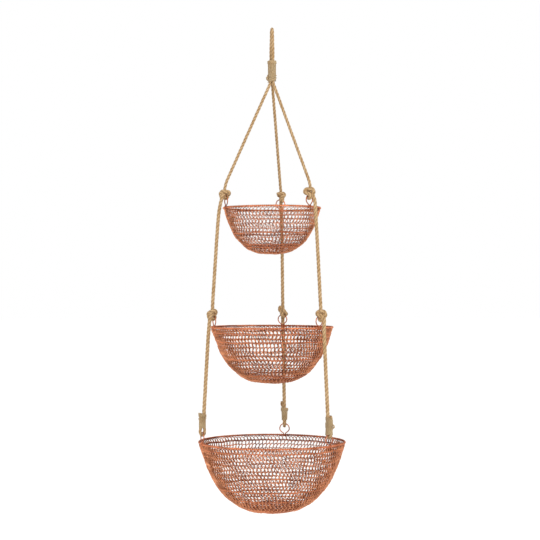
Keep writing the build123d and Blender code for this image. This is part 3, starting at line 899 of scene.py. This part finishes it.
def bowl_rounds(name, bowl):
    """The rounds of stitches and the ridges between them, from the rim to the middle of the foot."""
    down, radius, height = profile(bowl)
    rng = np.random.default_rng(bowl_seeds[name])
    rows, ridges = [], []
    at, number = 1.0, 0
    while at < down[-1] - last_row:
        row = row_h * rng.uniform(*row_varies)
        row *= tall_row if number in tall_rounds[name] else 1.0
        narrow = np.interp(at, down, radius) < foot_starts * bowl["hoop_r"]
        row *= foot_row if narrow else 1.0
        for centre, kind in ((at + row / 2, rows), (at + row, ridges)):
            r, z = np.interp(centre, down, radius), np.interp(centre, down, height)
            if r < hole_r:
                continue
            # The wall's slope, from 2 mm before this place and 2 mm after it.
            ahead, behind = min(centre + 2, down[-1]), centre - 2
            fall = np.interp(behind, down, height) - np.interp(ahead, down, height)
            inwards = np.interp(behind, down, radius) - np.interp(ahead, down, radius)
            kind.append({
                "radius": r, "z": z, "slope": atan2(inwards, fall), "start": rng.uniform(0, tau),
                "stitches": max(6, round(tau * r / stitch_w)),
                "lean": rng.uniform(*stitch_leans) * rng.choice([-1, 1], p=lean_sides),
                "tall": row / 2, "wires": 3 if rng.random() < bundle_chance else 1,
            })
        at += row
        number += 1
    for ridge in ridges:
        ridge["tall"] = bundle_r if ridge["wires"] == 3 else single_r
    return rows, ridges


def share_out(items, parts):
    """Splits rounds into bands with about the same number of stitches."""
    total = sum(item["stitches"] for item in items)
    shares, running = [[] for _ in range(parts)], 0
    for item in items:
        shares[min(parts - 1, int(parts * running / total))].append(item)
        running += item["stitches"]
    return shares


# %% Bowl walls
bands = {"small": 2, "medium": 2, "large": 3}
stitch_wire_d = {"small": 1.3, "medium": 1.7, "large": 1.65}
for name, bowl in BOWLS.items():
    rows, ridges = bowl_rounds(name, bowl)
    wire = {"Wire_radius": stitch_wire_d[name] / 2 * MM}
    for kind, rounds, tree, look, sizes in (
            ("stitches", rows, stitch_tree, crochet_copper, wire),
            ("ridges", ridges, wound_wire, rim_copper, {})):
        for k, band in enumerate(share_out(rounds, bands[name])):
            label = f"{name}_bowl_{kind}_{k + 1}"
            piece = run_tree(tree, round_guides(label + "_guide", band), label, look, **sizes)
            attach(piece, TIERS[name])
            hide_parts(f"{name}_bowl_mesh")
            print(label, len(piece.data.polygons), "faces")
    print(name, "bowl has", len(rows), "rounds")

# %% [markdown]
# ## Rims
#
# The rim is one stiff hoop, about 3 mm thick, and the top round of stitches is worked over it. That
# wire is wound close, so from a step away the rim looks like a dark twisted cord. A bump could draw
# that twist, but the rim's edge would stay smooth, so the wire is wound on for real.


# %% Hoops
def tube_ring(name, radius, z, wire_r, material, steps=120, sides=14):
    """A closed hoop of round wire, in millimetres."""
    verts, faces = [], []
    for k in range(steps):
        turn = tau * k / steps
        for j in range(sides):
            around = tau * j / sides
            r = radius + wire_r * cos(around)
            verts.append((r * cos(turn) * MM, r * sin(turn) * MM, (z + wire_r * sin(around)) * MM))
    for k in range(steps):
        here, ahead = k * sides, (k + 1) % steps * sides
        for j in range(sides):
            on = (j + 1) % sides
            faces.append((here + j, ahead + j, ahead + on, here + on))
    mesh = bpy.data.meshes.new(name)
    mesh.from_pydata(verts, [], faces)
    mesh.shade_smooth()
    mesh.materials.append(material)
    piece = bpy.data.objects.new(name, mesh)
    scene.collection.objects.link(piece)
    return piece


# %% Rims
wrap_step = 8.5
wrap_r = 1.6
for name, bowl in BOWLS.items():
    hoop = tube_ring(f"{name}_rim_hoop", bowl["hoop_r"], bowl["rim_z"], rim_wire_d / 2, rim_copper)
    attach(hoop, TIERS[name])
    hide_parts(f"{name}_bowl_rim")
    ring = {"radius": bowl["hoop_r"], "z": bowl["rim_z"], "slope": 0.0, "start": 0.0, "lean": 0.0,
            "stitches": round(tau * bowl["hoop_r"] / wrap_step), "tall": wrap_r, "wires": 2}
    guide = round_guides(f"{name}_rim_guide", [ring])
    winding = run_tree(wound_wire, guide, f"{name}_rim_winding", rim_copper, Step=1.0 * MM,
                       Wander=0.0, Jitter=0.5 * MM, Sides=7, Roundness=1.0,
                       Wire_radius=0.85 * MM)
    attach(winding, TIERS[name])
    print(winding.name, len(winding.data.polygons), "faces")

# %% [markdown]
# ## Floor and light
#
# The basket hangs in front of plain white, lit softly from all round, with a broad light from the
# right and in front that draws the strands of the rope, and a weaker one from the left.


# %% Floor
def lit_or_seen(tree, lit, seen):
    """One value for soft light, and another for what the camera, metal or glass sees."""
    rays = add_node(tree, "ShaderNodeLightPath").outputs
    shown = rays["Is Camera Ray"]
    for other in ("Is Glossy Ray", "Is Transmission Ray"):
        shown = add_node(tree, "ShaderNodeMath", [shown, rays[other]], operation="MAXIMUM")
    return add_node(tree, "ShaderNodeMapRange", [shown, 0.0, 1.0, lit, seen]).outputs[0]


reach, floor_z = 30.0, -1.25
corners = [(x * reach, y * reach, floor_z) for x, y in ((-1, -1), (1, -1), (1, 1), (-1, 1))]
floor_mesh = bpy.data.meshes.new("floor")
floor_mesh.from_pydata(corners, [], [(0, 1, 2, 3)])
floor = bpy.data.objects.new("floor", floor_mesh)
scene.collection.objects.link(floor)
paper, shader = new_material("pale_paper_floor", {
    "Base Color": linear("#F6F5F3"), "Roughness": 0.9, "Emission Color": linear("#FFFFFF")})
glow = lit_or_seen(paper.node_tree, lit=0.0, seen=0.28)
paper.node_tree.links.new(glow, shader.inputs["Emission Strength"])
floor_mesh.materials.append(paper)

# %% Light
world = bpy.data.worlds.new("studio")
world.use_nodes = True
sky = world.node_tree
sky.nodes["Background"].inputs["Color"].default_value = linear("#FFFFFF")
sky.links.new(lit_or_seen(sky, lit=0.8, seen=1.0), sky.nodes["Background"].inputs["Strength"])
scene.world = world
scene.view_settings.view_transform = "Standard"


def softbox(name, location, target, width, watts):
    """A square lamp that points at the target."""
    data = bpy.data.lights.new(name, "AREA")
    data.shape = "SQUARE"
    data.size = width
    data.energy = watts
    lamp = bpy.data.objects.new(name, data)
    lamp.location = location
    lamp.rotation_euler = (Vector(target) - Vector(location)).to_track_quat("-Z", "Y").to_euler()
    scene.collection.objects.link(lamp)


basket_middle = (0, 0, -0.5)
softbox("key", (1.6, -2.2, 0.9), basket_middle, width=1.2, watts=42)
softbox("fill", (-2.0, -1.6, -0.2), basket_middle, width=1.6, watts=12)
